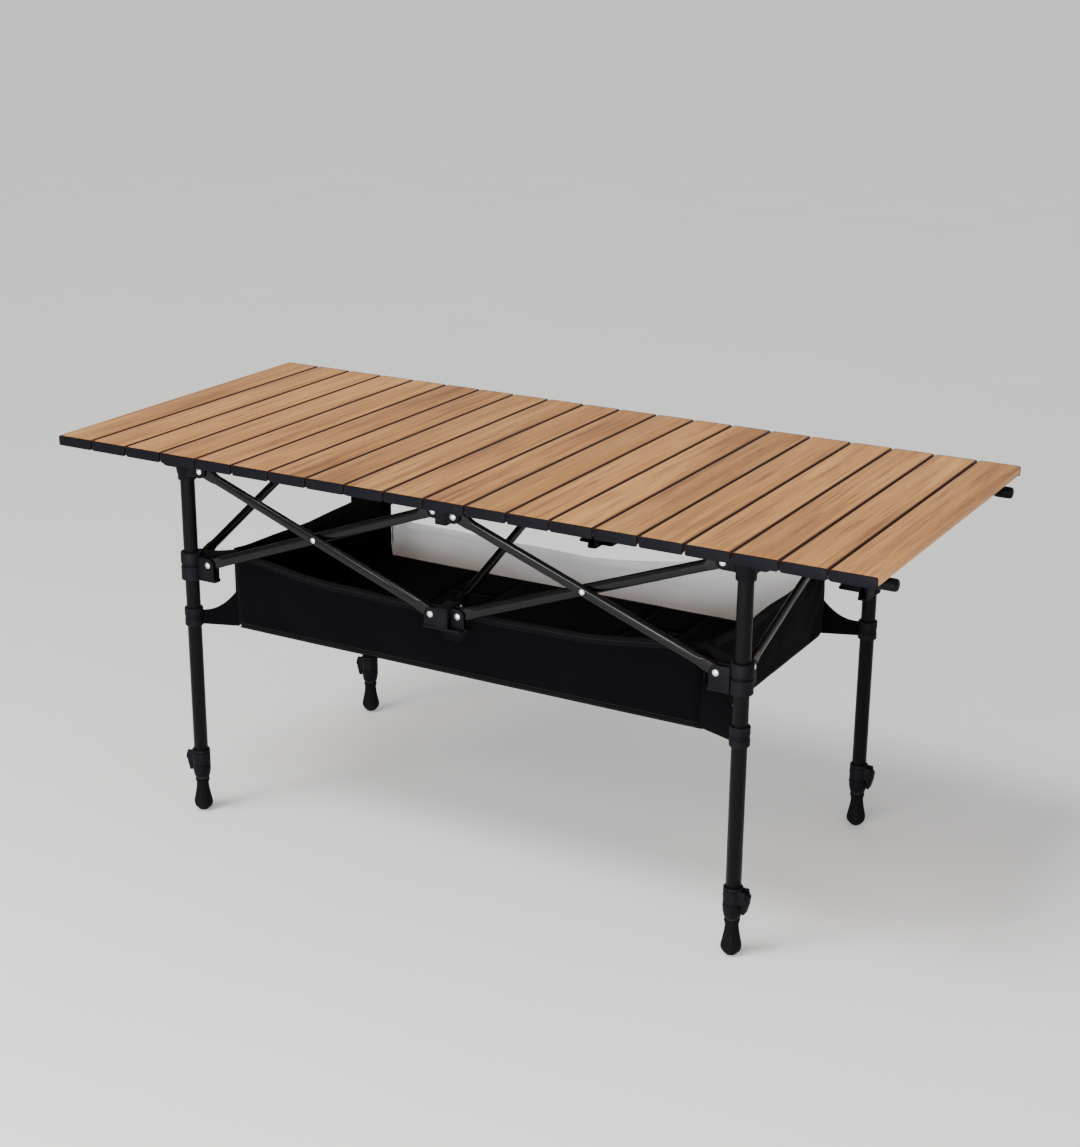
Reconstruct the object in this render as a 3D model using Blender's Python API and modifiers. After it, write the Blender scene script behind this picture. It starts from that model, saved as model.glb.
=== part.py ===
"""Folding camp kitchen table: a roll-up slatted top on a pop-up scissor frame, with a storage bag.

Metres, +Z up, origin on the ground under the middle of the top. X runs along the table, -Y is
its front. Two short name tags are used: l/r for left/right (-X/+X) and f/b for front/back (-Y/+Y).
"""

import math

import bmesh
import bpy
from mathutils import Matrix, Vector

# ---- driving dimensions -------------------------------------------------------------------
TOP_HEIGHT = 0.545          # ground to the top of the slats
SLAT_COUNT = 20
SLAT_PITCH = 0.060
SLAT_GAP = 0.003
SLAT_DEPTH = 0.535          # front to back, over the end caps
SLAT_THICK = 0.012
CAP_LENGTH = 0.024          # how far each end cap reaches along the slat
CAP_DROP = 0.002            # how far a cap hangs below its slat

LEG_X = 0.418               # leg axes
LEG_Y = 0.215
UPPER_PIVOT_Z = 0.513       # height of every upper rivet
LOWER_PIVOT_Z = 0.376       # height of every lower rivet, frame open
CORNER_REACH = 0.030        # leg axis to rivet
HUB_REACH_X = 0.018         # mid hub centre to its two side rivets
HUB_REACH_Y = 0.030         # mid hub centre to its inward rivet

ARM_HEIGHT = 0.015          # flat-oval arm
ARM_THICK = 0.008
ARM_OFFSET = 0.0045         # each arm's centre plane from the plane of its crossed pair
RIVET_R = 0.0025
FIT = 0.0003                # clearance between pieces

TUBE_R = 0.010              # upper leg tube
TUBE_BORE_R = 0.0088
INNER_R = 0.0084            # telescoping inner leg
INNER_BORE_R = 0.0072
INNER_TOP_Z = 0.250
HOUSING_R = 0.0125          # clamp housing at the lower end of the tube
HOUSING_Z = (0.052, 0.094)
HEAD_TOP_Z = TOP_HEIGHT - SLAT_THICK - CAP_DROP - FIT
SLIDER_Z = (0.352, 0.392)
SLIDER_R = 0.0148

LEVER_REACH = 0.0170        # leg axis to the cam lever's pin
LEVER_Z = 0.082
LEVER_THICK = 0.011
LEVER_PIN_R = 0.0015

SUPPORT_REACH = 0.027       # leg axis to the end support's pin
SUPPORT_Z = 0.5215
SUPPORT_R = 0.0068
SUPPORT_TIP_X = SLAT_COUNT * SLAT_PITCH / 2 + 0.005

FORK_WALL = 0.0025
FORK_GAP = ARM_THICK + 2 * FIT
EAR_R = 0.0095

BAG_X = 0.365               # half length and half depth over the cloth
BAG_Y = 0.199
BAG_Z = (0.280, 0.400)
BAG_WALL = 0.002
BAG_BACK_Z = 0.346          # the back panel is lower than the other three
BAG_NOTCH = (0.032, 0.346)  # half width and floor of the notch behind the front lower hub
COLLAR_R = 0.0132           # bag collars, one round each leg
COLLAR_Z = (0.284, 0.310)
STRAP_HEIGHT = 0.018        # straps from the bag's lower corners to the collars

ROUND = 16                  # sides of a round piece
PIN_SIDES = 8               # sides of a rivet and of its hole
ALL_Z = Vector((0, 0, 1))

# ---- scene, collections, materials --------------------------------------------------------
for old in list(bpy.data.objects):
    bpy.data.objects.remove(old, do_unlink=True)

PARTS = bpy.data.collections.new("camp_kitchen_table")
CUTTERS = bpy.data.collections.new("cutters")
for group in (PARTS, CUTTERS):
    bpy.context.scene.collection.children.link(group)


def material(name, colour, roughness, metallic=0.0):
    made = bpy.data.materials.new(name)
    made.use_nodes = True
    shader = made.node_tree.nodes["Principled BSDF"]
    shader.inputs["Base Color"].default_value = (*colour, 1.0)
    shader.inputs["Roughness"].default_value = roughness
    shader.inputs["Metallic"].default_value = metallic
    return made


WOOD_GRAIN = material("wood_grain", (0.36, 0.19, 0.09), 0.45)
BLACK_PAINT = material("black_painted_aluminium", (0.012, 0.012, 0.014), 0.38, 0.4)
BLACK_PLASTIC = material("black_plastic", (0.016, 0.016, 0.020), 0.5)
BLACK_RUBBER = material("black_rubber", (0.012, 0.012, 0.013), 0.8)
BLACK_CLOTH = material("black_cloth", (0.010, 0.010, 0.012), 0.9)


# ---- modelling helpers --------------------------------------------------------------------
def new_object(name, mesh, group=PARTS, finish=None):
    made = bpy.data.objects.new(name, mesh)
    group.objects.link(made)
    if finish:
        mesh.materials.append(finish)
    if group is CUTTERS:
        made.hide_render = True
        made.display_type = "WIRE"
    return made


def box_mesh(name, low, high):
    low, high = Vector(low), Vector(high)
    shape = bmesh.new()
    place = Matrix.Translation((low + high) / 2) @ Matrix.Diagonal((*(high - low), 1))
    bmesh.ops.create_cube(shape, size=1, matrix=place)
    mesh = bpy.data.meshes.new(name)
    shape.to_mesh(mesh)
    shape.free()
    return mesh


def rod_mesh(name, start, end, radius, sides=ROUND):
    start, end = Vector(start), Vector(end)
    run = end - start
    turn = run.to_track_quat("Z", "Y").to_matrix().to_4x4()
    shape = bmesh.new()
    bmesh.ops.create_cone(
        shape, cap_ends=True, segments=sides, radius1=radius, radius2=radius,
        depth=run.length, matrix=Matrix.Translation((start + end) / 2) @ turn,
    )
    mesh = bpy.data.meshes.new(name)
    shape.to_mesh(mesh)
    shape.free()
    return mesh


def plate_mesh(name, outline, thickness):
    """A flat outline (u, v) as a closed plate, centred on its own plane."""
    curve = bpy.data.curves.new(name, "CURVE")
    curve.dimensions = "2D"
    curve.fill_mode = "BOTH"
    curve.extrude = thickness / 2
    line = curve.splines.new("POLY")
    line.points.add(len(outline) - 1)
    for point, (u, v) in zip(line.points, outline):
        point.co = (u, v, 0, 1)
    line.use_cyclic_u = True
    drawn = bpy.data.objects.new(name, curve)
    bpy.context.scene.collection.objects.link(drawn)
    bpy.context.view_layer.update()
    evaluated = drawn.evaluated_get(bpy.context.evaluated_depsgraph_get())
    mesh = bpy.data.meshes.new_from_object(evaluated)
    bpy.data.objects.remove(drawn, do_unlink=True)
    shape = bmesh.new()
    shape.from_mesh(mesh)
    bmesh.ops.remove_doubles(shape, verts=shape.verts, dist=1e-6)
    bmesh.ops.dissolve_limit(shape, angle_limit=0.001, verts=shape.verts, edges=shape.edges)
    bmesh.ops.recalc_face_normals(shape, faces=shape.faces)
    shape.to_mesh(mesh)
    shape.free()
    mesh.name = name
    return mesh


def arc(centre, radius, start_deg, end_deg, steps):
    """Points on an arc, both ends included."""
    points = []
    for step in range(steps + 1):
        angle = math.radians(start_deg + (end_deg - start_deg) * step / steps)
        points.append((centre[0] + radius * math.cos(angle), centre[1] + radius * math.sin(angle)))
    return points


def upright(origin, along):
    """Matrix that stands a plate up: its u runs along a level direction, its v runs up."""
    along = Vector(along)
    normal = along.cross(ALL_Z)
    turn = Matrix((along, ALL_Z, normal)).transposed().to_4x4()
    return Matrix.Translation(Vector(origin)) @ turn


def turned(name, profile, finish, origin):
    """A solid turned about Z from a (radius, z) profile that runs down its outer side."""
    edges = [(n, n + 1) for n in range(len(profile) - 1)]
    if profile[0][0] > 0:
        edges.append((len(profile) - 1, 0))
    mesh = bpy.data.meshes.new(name)
    mesh.from_pydata([(r, 0, z) for r, z in profile], edges, [])
    made = new_object(name, mesh, PARTS, finish)
    made.location = origin
    screw = made.modifiers.new("turn", "SCREW")
    screw.steps = ROUND
    screw.render_steps = ROUND
    screw.use_merge_vertices = True
    screw.merge_threshold = 0.00001
    screw.use_smooth_shade = False
    return made


def combine(target, tool_meshes, operation):
    """Adds or cuts tools, one Boolean each, from meshes given in world space."""
    for count, mesh in enumerate(tool_meshes):
        tool = new_object(f"{target.name}_{operation.lower()}_{count}", mesh, CUTTERS)
        step = target.modifiers.new(f"{operation.lower()}_{count}", "BOOLEAN")
        step.operation = operation
        step.solver = "EXACT"
        step.object = tool


def join_meshes(name, meshes):
    """Several separate solids in one cutter mesh."""
    shape = bmesh.new()
    for mesh in meshes:
        shape.from_mesh(mesh)
    mesh = bpy.data.meshes.new(name)
    shape.to_mesh(mesh)
    shape.free()
    return mesh


def moved(mesh, matrix):
    mesh.transform(matrix)
    return mesh


# ---- forked ears: what every rivet sits in ------------------------------------------------
class Ear:
    """A fork on a bracket, for one arm end.

    along: level direction from the bracket's axis; reach: axis to rivet;
    side: +1 or -1, which way the arm's plane is set off along `outward`.
    """

    def __init__(self, axis_point, along, reach, outward, side, upper, root):
        self.along = Vector(along)
        self.offset = Vector(outward) * ARM_OFFSET * side
        self.base = Vector(axis_point) + self.offset
        self.reach = reach
        self.root = root
        self.upper = upper
        self.pivot = self.base + self.along * reach

    def outline(self):
        """Round nose at the rivet, a bridge above (upper) or a finger lip below (lower)."""
        nose = arc((self.reach, 0), EAR_R, -90, 0, 3)
        root = self.root
        if self.upper:
            top = 0.0125
            return [(root, -EAR_R)] + nose + [(self.reach + EAR_R, top), (root, top)]
        low = SLIDER_Z[0] - LOWER_PIVOT_Z
        flipped = [(u, -v) for u, v in reversed(nose)]
        lip = [(root, low), (self.reach + 0.013, low), (self.reach + EAR_R, low + 0.004)]
        return lip + flipped + [(root, EAR_R)]

    def solid(self, name):
        thick = FORK_GAP + 2 * FORK_WALL
        return moved(plate_mesh(name, self.outline(), thick), upright(self.base, self.along))

    def slot(self, name):
        inner = self.reach - ARM_HEIGHT / 2 - 0.0008
        bridge = ARM_HEIGHT / 2 + 0.001
        low, high = (-0.03, bridge) if self.upper else (-bridge, 0.03)
        half = FORK_GAP / 2
        block = box_mesh(name, (inner, low, -half), (inner + 0.05, high, half))
        return moved(block, upright(self.base, self.along))

    def hole(self, name):
        across = self.along.cross(ALL_Z)
        half = across * 0.012
        return rod_mesh(name, self.pivot - half, self.pivot + half, RIVET_R + FIT, PIN_SIDES)


def add_ears(body, ears, *extras):
    """Adds forks to a bracket. Each extra is a (solid, slot, hole) of meshes."""
    solids = [ear.solid(f"{body.name}_ear") for ear in ears] + [extra[0] for extra in extras]
    slots = [ear.slot(f"{body.name}_slot") for ear in ears] + [extra[1] for extra in extras]
    holes = [ear.hole(f"{body.name}_hole") for ear in ears] + [extra[2] for extra in extras]
    combine(body, solids, "UNION")
    combine(body, [join_meshes(f"{body.name}_slots", slots)], "DIFFERENCE")
    combine(body, [join_meshes(f"{body.name}_holes", holes)], "DIFFERENCE")


# ---- the frame's six posts: four legs and two mid hubs --------------------------------------
POSTS = {
    "lf": (-LEG_X, -LEG_Y), "fm": (0.0, -LEG_Y), "rf": (LEG_X, -LEG_Y),
    "rb": (LEG_X, LEG_Y), "bm": (0.0, LEG_Y), "lb": (-LEG_X, LEG_Y),
}

# Each crossed pair joins two posts: (left post, right post) as seen from outside the frame.
PAIRS = {
    "front_left": ("lf", "fm", (0, -1, 0)), "front_right": ("fm", "rf", (0, -1, 0)),
    "right_side": ("rf", "rb", (1, 0, 0)), "back_right": ("rb", "bm", (0, 1, 0)),
    "back_left": ("bm", "lb", (0, 1, 0)), "left_side": ("lb", "lf", (-1, 0, 0)),
    "middle": ("fm", "bm", (1, 0, 0)),
}


def reach_of(post, along):
    if post in ("fm", "bm"):
        return HUB_REACH_X if abs(along[0]) > 0.5 else HUB_REACH_Y
    return CORNER_REACH


def pair_ears(pair):
    """The four ears of a crossed pair, by (post, level). The falling arm is the outer one."""
    left, right, outward = PAIRS[pair]
    start = Vector((*POSTS[left], 0))
    end = Vector((*POSTS[right], 0))
    along = (end - start).normalized()
    found = {}
    for post, point, way, top_side in ((left, start, along, 1), (right, end, -along, -1)):
        for upper in (True, False):
            height = UPPER_PIVOT_Z if upper else LOWER_PIVOT_Z
            side = top_side if upper else -top_side
            axis_point = (point.x, point.y, height)
            root = 0.004 if upper or post in ("fm", "bm") else TUBE_R + 0.0018
            ear = Ear(axis_point, way, reach_of(post, way), outward, side, upper, root)
            found[post, upper] = ear
    return found


EARS = {pair: pair_ears(pair) for pair in PAIRS}


def ears_on(post, upper):
    return [found[post, upper] for found in EARS.values() if (post, upper) in found]


# ---- slats ----------------------------------------------------------------------------------
def make_slat(number):
    """A plank with a deeper cap at each end, hinged to its neighbours at its top edges."""
    name = f"slat_{number:02d}"
    middle = (number - (SLAT_COUNT + 1) / 2) * SLAT_PITCH
    half = (SLAT_PITCH - SLAT_GAP) / 2
    low = TOP_HEIGHT - SLAT_THICK
    end = SLAT_DEPTH / 2
    mesh = box_mesh(name, (-half, -end, -CAP_DROP - SLAT_THICK), (half, end, 0))
    slat = new_object(name, mesh, PARTS, WOOD_GRAIN)
    slat.location = (middle, 0, TOP_HEIGHT)
    bevel = slat.modifiers.new("soft_edges", "BEVEL")
    bevel.width = 0.0008
    bevel.segments = 1
    inner = end - CAP_LENGTH
    recess = box_mesh(
        f"{name}_recess",
        (middle - half - 0.01, -inner, low - 0.02), (middle + half + 0.01, inner, low),
    )
    combine(slat, [recess], "DIFFERENCE")


# ---- legs -----------------------------------------------------------------------------------
def support_fork(x, y, outward_x):
    """The fork on a leg head that carries a flip-out end support, with its slot and pin hole."""
    along = Vector((outward_x, 0, 0))
    base = Vector((x, y, SUPPORT_Z))
    nose = arc((SUPPORT_REACH, 0), 0.0088, -90, 0, 4)
    outline = [(0.004, -0.0088)] + nose + [(SUPPORT_REACH + 0.0088, 0.0086), (0.004, 0.0086)]
    gap = 2 * SUPPORT_R + 2 * FIT
    solid = moved(plate_mesh("support_fork", outline, gap + 2 * FORK_WALL), upright(base, along))
    inner = SUPPORT_REACH - 0.0092
    slot = box_mesh("support_slot", (inner, -0.03, -gap / 2), (inner + 0.05, 0.03, gap / 2))
    slot = moved(slot, upright(base, along))
    pin = base + along * SUPPORT_REACH
    across = Vector((0, 0.02, 0))
    hole = rod_mesh("support_hole", pin - across, pin + across, RIVET_R + FIT, PIN_SIDES)
    return solid, slot, hole


def lever_lugs(x, y, outward_x):
    """Two lugs on the clamp housing that hold the cam lever's pin."""
    wide = LEVER_THICK / 2 + FIT + 0.0022
    along = Vector((outward_x, 0, 0))
    base = Vector((x, y, LEVER_Z))
    outline = [(0.0098, -0.009), (0.0165, -0.009), (0.0215, -0.003), (0.0215, 0.006),
               (0.0185, 0.0095), (0.0098, 0.0095)]
    solid = moved(plate_mesh("lever_lugs", outline, 2 * wide), upright(base, along))
    half = LEVER_THICK / 2 + FIT
    slot = box_mesh("lever_slot", (HOUSING_R - 0.0028, -0.06, -half), (0.06, 0.03, half))
    slot = moved(slot, upright(base, along))
    pin = base + along * LEVER_REACH
    across = Vector((0, 0.015, 0))
    hole = rod_mesh("lever_hole", pin - across, pin + across, LEVER_PIN_R + FIT, PIN_SIDES)
    return solid, slot, hole


def make_leg(post):
    """Upper leg tube with its moulded head and its clamp housing."""
    x, y = POSTS[post]
    outward = math.copysign(1, x)
    low, high = HOUSING_Z
    profile = [
        (0, HEAD_TOP_Z), (0.0160, HEAD_TOP_Z), (0.0160, 0.520), (0.0125, 0.503), (0.0125, 0.498),
        (TUBE_R, 0.4978), (TUBE_R, high), (HOUSING_R, high - 0.0003), (HOUSING_R, low + 0.010),
        (0.0105, low), (TUBE_BORE_R, low), (TUBE_BORE_R, 0.494), (0, 0.494),
    ]
    leg = turned(f"leg_{post}", profile, BLACK_PAINT, (x, y, 0))
    fork = support_fork(x, y, outward)
    lugs = lever_lugs(x, y, outward)
    add_ears(leg, ears_on(post, True), fork, lugs)


def make_inner_leg(post):
    """Telescoping tube, open at the top, with its flared foot."""
    x, y = POSTS[post]
    profile = [
        (0, 0.046), (INNER_BORE_R, 0.046), (INNER_BORE_R, INNER_TOP_Z), (INNER_R, INNER_TOP_Z),
        (INNER_R, 0.0475), (0.0102, 0.047), (0.0088, 0.040), (0.0112, 0.024), (0.0136, 0.012),
        (0.0120, 0.006), (0.0068, 0.0), (0, 0.0),
    ]
    turned(f"inner_leg_{post}", profile, BLACK_RUBBER, (x, y, 0))


def make_lever(post):
    """Cam lever: a round nose on its pin and a tail that lies down along the housing."""
    x, y = POSTS[post]
    outward = Vector((math.copysign(1, x), 0, 0))
    name = f"foot_lever_{post}"
    outline = arc((0, 0), 0.0060, 215, -25, 7) + [(0.0040, -0.010), (0.0005, -0.0225), (-0.0033, -0.0225)]
    mesh = plate_mesh(name, outline, LEVER_THICK)
    pin_point = Vector((x, y, LEVER_Z)) + outward * LEVER_REACH
    lever = new_object(name, moved(mesh, upright((0, 0, 0), outward)), PARTS, BLACK_PLASTIC)
    lever.location = pin_point
    across = Vector((0, LEVER_THICK / 2 + FIT + 0.0020, 0))
    pin = rod_mesh(f"{name}_pin", pin_point - across, pin_point + across, LEVER_PIN_R, PIN_SIDES)
    combine(lever, [pin], "UNION")


def make_slider(post):
    """Sleeve that slides on the leg, with two forked ears and finger lips."""
    x, y = POSTS[post]
    bore = TUBE_R + FIT
    low, high = SLIDER_Z
    profile = [
        (bore + 0.002, high), (SLIDER_R - 0.001, high), (SLIDER_R, high - 0.001), (SLIDER_R, low),
        (bore, low), (bore, high - 0.002),
    ]
    slider = turned(f"slider_{post}", profile, BLACK_PLASTIC, (x, y, 0))
    add_ears(slider, ears_on(post, False))


def make_end_support(post):
    """Flip-out tube that carries the overhanging end of the top; it hangs down to stow."""
    x, y = POSTS[post]
    outward = math.copysign(1, x)
    name = f"end_support_{post}"
    length = SUPPORT_TIP_X - (LEG_X + SUPPORT_REACH)
    profile = [
        (0, -0.0050), (SUPPORT_R - 0.0015, -0.0050), (SUPPORT_R, -0.0035),
        (SUPPORT_R, length - 0.022), (0.0078, length - 0.0218), (0.0078, length - 0.003),
        (0.0052, length), (0, length),
    ]
    profile.reverse()
    support = turned(name, profile, BLACK_PAINT, (x + outward * SUPPORT_REACH, y, SUPPORT_Z))
    support.rotation_euler = (0, outward * math.pi / 2, 0)
    across = Vector((0, SUPPORT_R + FIT + FORK_WALL + 0.0008, 0))
    pin_point = Vector((x + outward * SUPPORT_REACH, y, SUPPORT_Z))
    pin = rod_mesh(f"{name}_pin", pin_point - across, pin_point + across, RIVET_R, PIN_SIDES)
    combine(support, [pin], "UNION")


# ---- mid hubs -------------------------------------------------------------------------------
def make_hub(post, upper):
    """Block between the two bays of a long side, with two side ears and one inward ear."""
    x, y = POSTS[post]
    inward = -math.copysign(1, y)
    near, far = y - inward * 0.0125, y + inward * 0.0200
    low_y, high_y = min(near, far), max(near, far)
    if upper:
        low_z, high_z = UPPER_PIVOT_Z - 0.0135, HEAD_TOP_Z
    else:
        low_z, high_z = SLIDER_Z[0], SLIDER_Z[1]
    level = "upper" if upper else "lower"
    name = f"{level}_hub_{'front' if post == 'fm' else 'back'}"
    middle = Vector((x, y, (low_z + high_z) / 2))
    low = Vector((-0.0088, low_y, low_z)) - Vector((0, middle.y, middle.z))
    high = Vector((0.0088, high_y, high_z)) - Vector((0, middle.y, middle.z))
    hub = new_object(name, box_mesh(name, low, high), PARTS, BLACK_PLASTIC)
    hub.location = middle
    bevel = hub.modifiers.new("soft_edges", "BEVEL")
    bevel.width = 0.0015
    bevel.segments = 1
    add_ears(hub, ears_on(post, upper))


# ---- scissor arms ---------------------------------------------------------------------------
def make_arm(pair, falling):
    """Flat-oval arm with its end rivets; the falling arm also carries the crossing rivet."""
    left, right, outward = PAIRS[pair]
    found = EARS[pair]
    start = found[left, True] if falling else found[left, False]
    end = found[right, False] if falling else found[right, True]
    name = f"arm_{pair}_{'falling' if falling else 'rising'}"
    run = end.pivot - start.pivot
    middle = (start.pivot + end.pivot) / 2
    length = run.length
    radius = ARM_HEIGHT / 2
    outline = arc((length / 2, 0), radius, -90, 90, 5) + arc((-length / 2, 0), radius, 90, 270, 5)
    mesh = plate_mesh(name, outline, ARM_THICK)
    along = run.normalized()
    across = Vector(outward)
    turn = Matrix((along, across.cross(along), across)).transposed().to_4x4()
    arm = new_object(name, moved(mesh, turn), PARTS, BLACK_PAINT)
    arm.location = middle
    bevel = arm.modifiers.new("round_edges", "BEVEL")
    bevel.width = 0.0018
    bevel.segments = 1
    bevel.limit_method = "ANGLE"
    bevel.angle_limit = math.radians(50)
    reach = across * (ARM_THICK / 2 + FIT + FORK_WALL + 0.0010)
    tools = [
        rod_mesh(f"{name}_rivet", point - reach, point + reach, RIVET_R, PIN_SIDES)
        for point in (start.pivot, end.pivot)
    ]
    if falling:
        inner = across * (ARM_THICK / 2 + 2 * ARM_OFFSET + 0.0008)
        outer = across * (ARM_THICK / 2 + 0.0012)
        tools.append(rod_mesh(f"{name}_crossing", middle - inner, middle + outer, RIVET_R, PIN_SIDES))
        combine(arm, tools, "UNION")
    else:
        combine(arm, tools, "UNION")
        half = across * 0.02
        hole = rod_mesh(f"{name}_hole", middle - half, middle + half, RIVET_R + FIT, PIN_SIDES)
        combine(arm, [hole], "DIFFERENCE")


# ---- storage bag ----------------------------------------------------------------------------
def make_bag():
    """Open-topped cloth tray inside the frame, notched around the two lower hubs."""
    low, high = BAG_Z
    bag = new_object(
        "storage_bag",
        box_mesh("storage_bag", (-BAG_X, -BAG_Y, 0), (BAG_X, BAG_Y, high - low)), PARTS, BLACK_CLOTH,
    )
    bag.location = (0, 0, low)
    trim_x = BAG_X - BAG_WALL
    inner = box_mesh(
        "bag_hollow", (-trim_x, -BAG_Y + BAG_WALL, low + BAG_WALL),
        (trim_x, BAG_Y - BAG_WALL, high + 0.05),
    )
    wide, floor = BAG_NOTCH
    notch = box_mesh("bag_notch", (-wide, -BAG_Y - 0.02, floor), (wide, 0, high + 0.05))
    trim_y = BAG_Y - BAG_WALL
    back = box_mesh("bag_back", (-trim_x, trim_y, BAG_BACK_Z), (trim_x, BAG_Y + 0.02, high + 0.05))
    combine(bag, [inner, notch, back], "DIFFERENCE")
    straps, bores = [], []
    for x, y in (POSTS[corner] for corner in ("lf", "rf", "rb", "lb")):
        start = Vector((math.copysign(BAG_X - 0.001, x), math.copysign(BAG_Y - 0.001, y), 0))
        end = Vector((x, y, 0))
        run = end - start
        block = box_mesh(
            "strap", (0, -BAG_WALL / 2, -STRAP_HEIGHT / 2), (run.length, BAG_WALL / 2, STRAP_HEIGHT / 2),
        )
        height = Vector((0, 0, sum(COLLAR_Z) / 2 - 0.002))
        turn = Matrix.Rotation(math.atan2(run.y, run.x), 4, "Z")
        straps.append(moved(block, Matrix.Translation(start + height) @ turn))
        straps.append(rod_mesh("collar", (x, y, COLLAR_Z[0]), (x, y, COLLAR_Z[1]), COLLAR_R))
        bores.append(rod_mesh("collar_bore", (x, y, 0.2), (x, y, 0.4), TUBE_R + 0.0005))
    combine(bag, straps, "UNION")
    combine(bag, [join_meshes("collar_bores", bores)], "DIFFERENCE")


# ---- build ----------------------------------------------------------------------------------
for slat_number in range(1, SLAT_COUNT + 1):
    make_slat(slat_number)
for corner in ("lf", "rf", "rb", "lb"):
    make_leg(corner)
    make_inner_leg(corner)
    make_lever(corner)
    make_slider(corner)
    make_end_support(corner)
for mid_post in ("fm", "bm"):
    make_hub(mid_post, True)
    make_hub(mid_post, False)
for pair_name in PAIRS:
    make_arm(pair_name, True)
    make_arm(pair_name, False)
make_bag()
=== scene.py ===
"""Looks of the folding camp kitchen table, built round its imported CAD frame.

Metres, in the frame of the CAD: X along the table, -Y its front, +Z up. Every mesh is made in
place, in the row frame, so a material's object coordinates are rest coordinates in every pose.
"""

import math

import bmesh
import bpy
from mathutils import Matrix, Vector, noise


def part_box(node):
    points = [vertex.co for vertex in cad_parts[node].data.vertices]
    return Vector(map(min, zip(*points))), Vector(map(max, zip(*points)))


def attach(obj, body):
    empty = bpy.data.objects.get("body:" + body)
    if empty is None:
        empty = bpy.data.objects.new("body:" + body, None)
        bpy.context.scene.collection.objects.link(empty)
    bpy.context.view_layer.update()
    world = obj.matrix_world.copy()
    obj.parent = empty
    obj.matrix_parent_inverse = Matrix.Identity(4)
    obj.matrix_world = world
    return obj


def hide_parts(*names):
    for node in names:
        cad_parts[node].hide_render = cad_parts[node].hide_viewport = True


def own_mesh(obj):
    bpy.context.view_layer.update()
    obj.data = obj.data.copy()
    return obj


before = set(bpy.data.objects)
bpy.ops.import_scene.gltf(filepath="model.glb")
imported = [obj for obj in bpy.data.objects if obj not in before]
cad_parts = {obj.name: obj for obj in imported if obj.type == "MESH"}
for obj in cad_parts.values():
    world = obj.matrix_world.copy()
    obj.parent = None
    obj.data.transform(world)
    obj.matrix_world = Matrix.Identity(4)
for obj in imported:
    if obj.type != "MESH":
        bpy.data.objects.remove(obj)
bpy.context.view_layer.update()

# ---- sizes, the same as the CAD's -----------------------------------------------------------
SLAT_COUNT = 20
SLAT_PITCH = 0.060
SLAT_GAP = 0.003
SLAT_THICK = 0.012
GAP_SHADE_REACH = (0.0028, 0.0040)    # painted shade beside each gap: full to here, gone from here
CAP_FACE = 0.0030           # thickness of an end cap's face plate
CAP_TONGUE = 0.021          # how far a cap reaches under its slat
CORD_Y, CORD_R = 0.150, 0.0016
TOP_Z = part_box("slat_10")[1].z
TOP_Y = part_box("slat_10")[1].y

LEG_X, LEG_Y = 0.418, 0.215
UPPER_Z, LOWER_Z = 0.513, 0.376    # heights of the arm ends' rivets
CORNER_REACH, HUB_REACH_X, HUB_REACH_Y = 0.030, 0.018, 0.030    # post to rivet
HUB_HALF, HUB_OUT, HUB_IN = 0.0087, 0.0125, 0.0200    # hub block, from its post
LOWER_HUB_Z = (0.3575, 0.3870)
ARM_HEIGHT, ARM_THICK, ARM_OFFSET = 0.015, 0.008, 0.0045
RIVET_HEAD, CROSSING_HEAD, SHANK_R = 0.0037, 0.0033, 0.0023
PLAY = 0.0003               # clearance each side of a part that turns in a fork
FORK_WALL, FORK_GAP, EAR_R = 0.0025, 0.0086, 0.0095
TUBE_R, INNER_R = 0.010, 0.0084
HEAD_TOP = 0.5307
SLIDER_Z = (0.352, 0.392)
LEVER_REACH, LEVER_Z, LEVER_THICK, LUG_THICK = 0.0170, 0.082, 0.011, 0.0022
SUPPORT_REACH, SUPPORT_Z, SUPPORT_R = 0.027, 0.5215, 0.0068
SUPPORT_TIP = 0.605
FOLDED_X = 0.1145           # half the length between legs, frame folded

BAG_X, BAG_Y, BAG_FLOOR = 0.364, 0.198, 0.281
CLOTH_THICK = 0.0009
CORNER_ROUND = 0.020        # plan radius of the bag's vertical corners
LIP_ROUND = 0.017           # radius that turns each wall under, to the floor
WALL_STEPS, WALL_LEVELS = 72, 14    # quads along a wall's straight run, and down it
HEM_HEIGHT, HEM_THICK = 0.011, 0.0028
STITCH_PITCH, STITCH_LENGTH, STITCH_R = 0.0042, 0.0026, 0.00035
PIPING_R, TAB_Z, STRAP_Z = 0.0017, 0.3870, 0.2965

CORNERS = {"lf": (-1, -1), "rf": (1, -1), "rb": (1, 1), "lb": (-1, 1)}
PAIRS = {
    "front_left": ("lf", "fm", (0, -1, 0)), "front_right": ("fm", "rf", (0, -1, 0)),
    "right_side": ("rf", "rb", (1, 0, 0)), "back_right": ("rb", "bm", (0, 1, 0)),
    "back_left": ("bm", "lb", (0, 1, 0)), "left_side": ("lb", "lf", (-1, 0, 0)),
    "middle": ("fm", "bm", (1, 0, 0)),
}
UP = Vector((0, 0, 1))
ALONG = Vector((1, 0, 0))


def post_xy(post):
    """Foot of a leg, or the point on the floor under a mid hub (fm front, bm back)."""
    if post in CORNERS:
        side, depth = CORNERS[post]
        return Vector((side * LEG_X, depth * LEG_Y, 0))
    return Vector((0, -LEG_Y if post == "fm" else LEG_Y, 0))


def outward_of(corner):
    """Along the table, away from its middle."""
    return Vector((CORNERS[corner][0], 0, 0))


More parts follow.
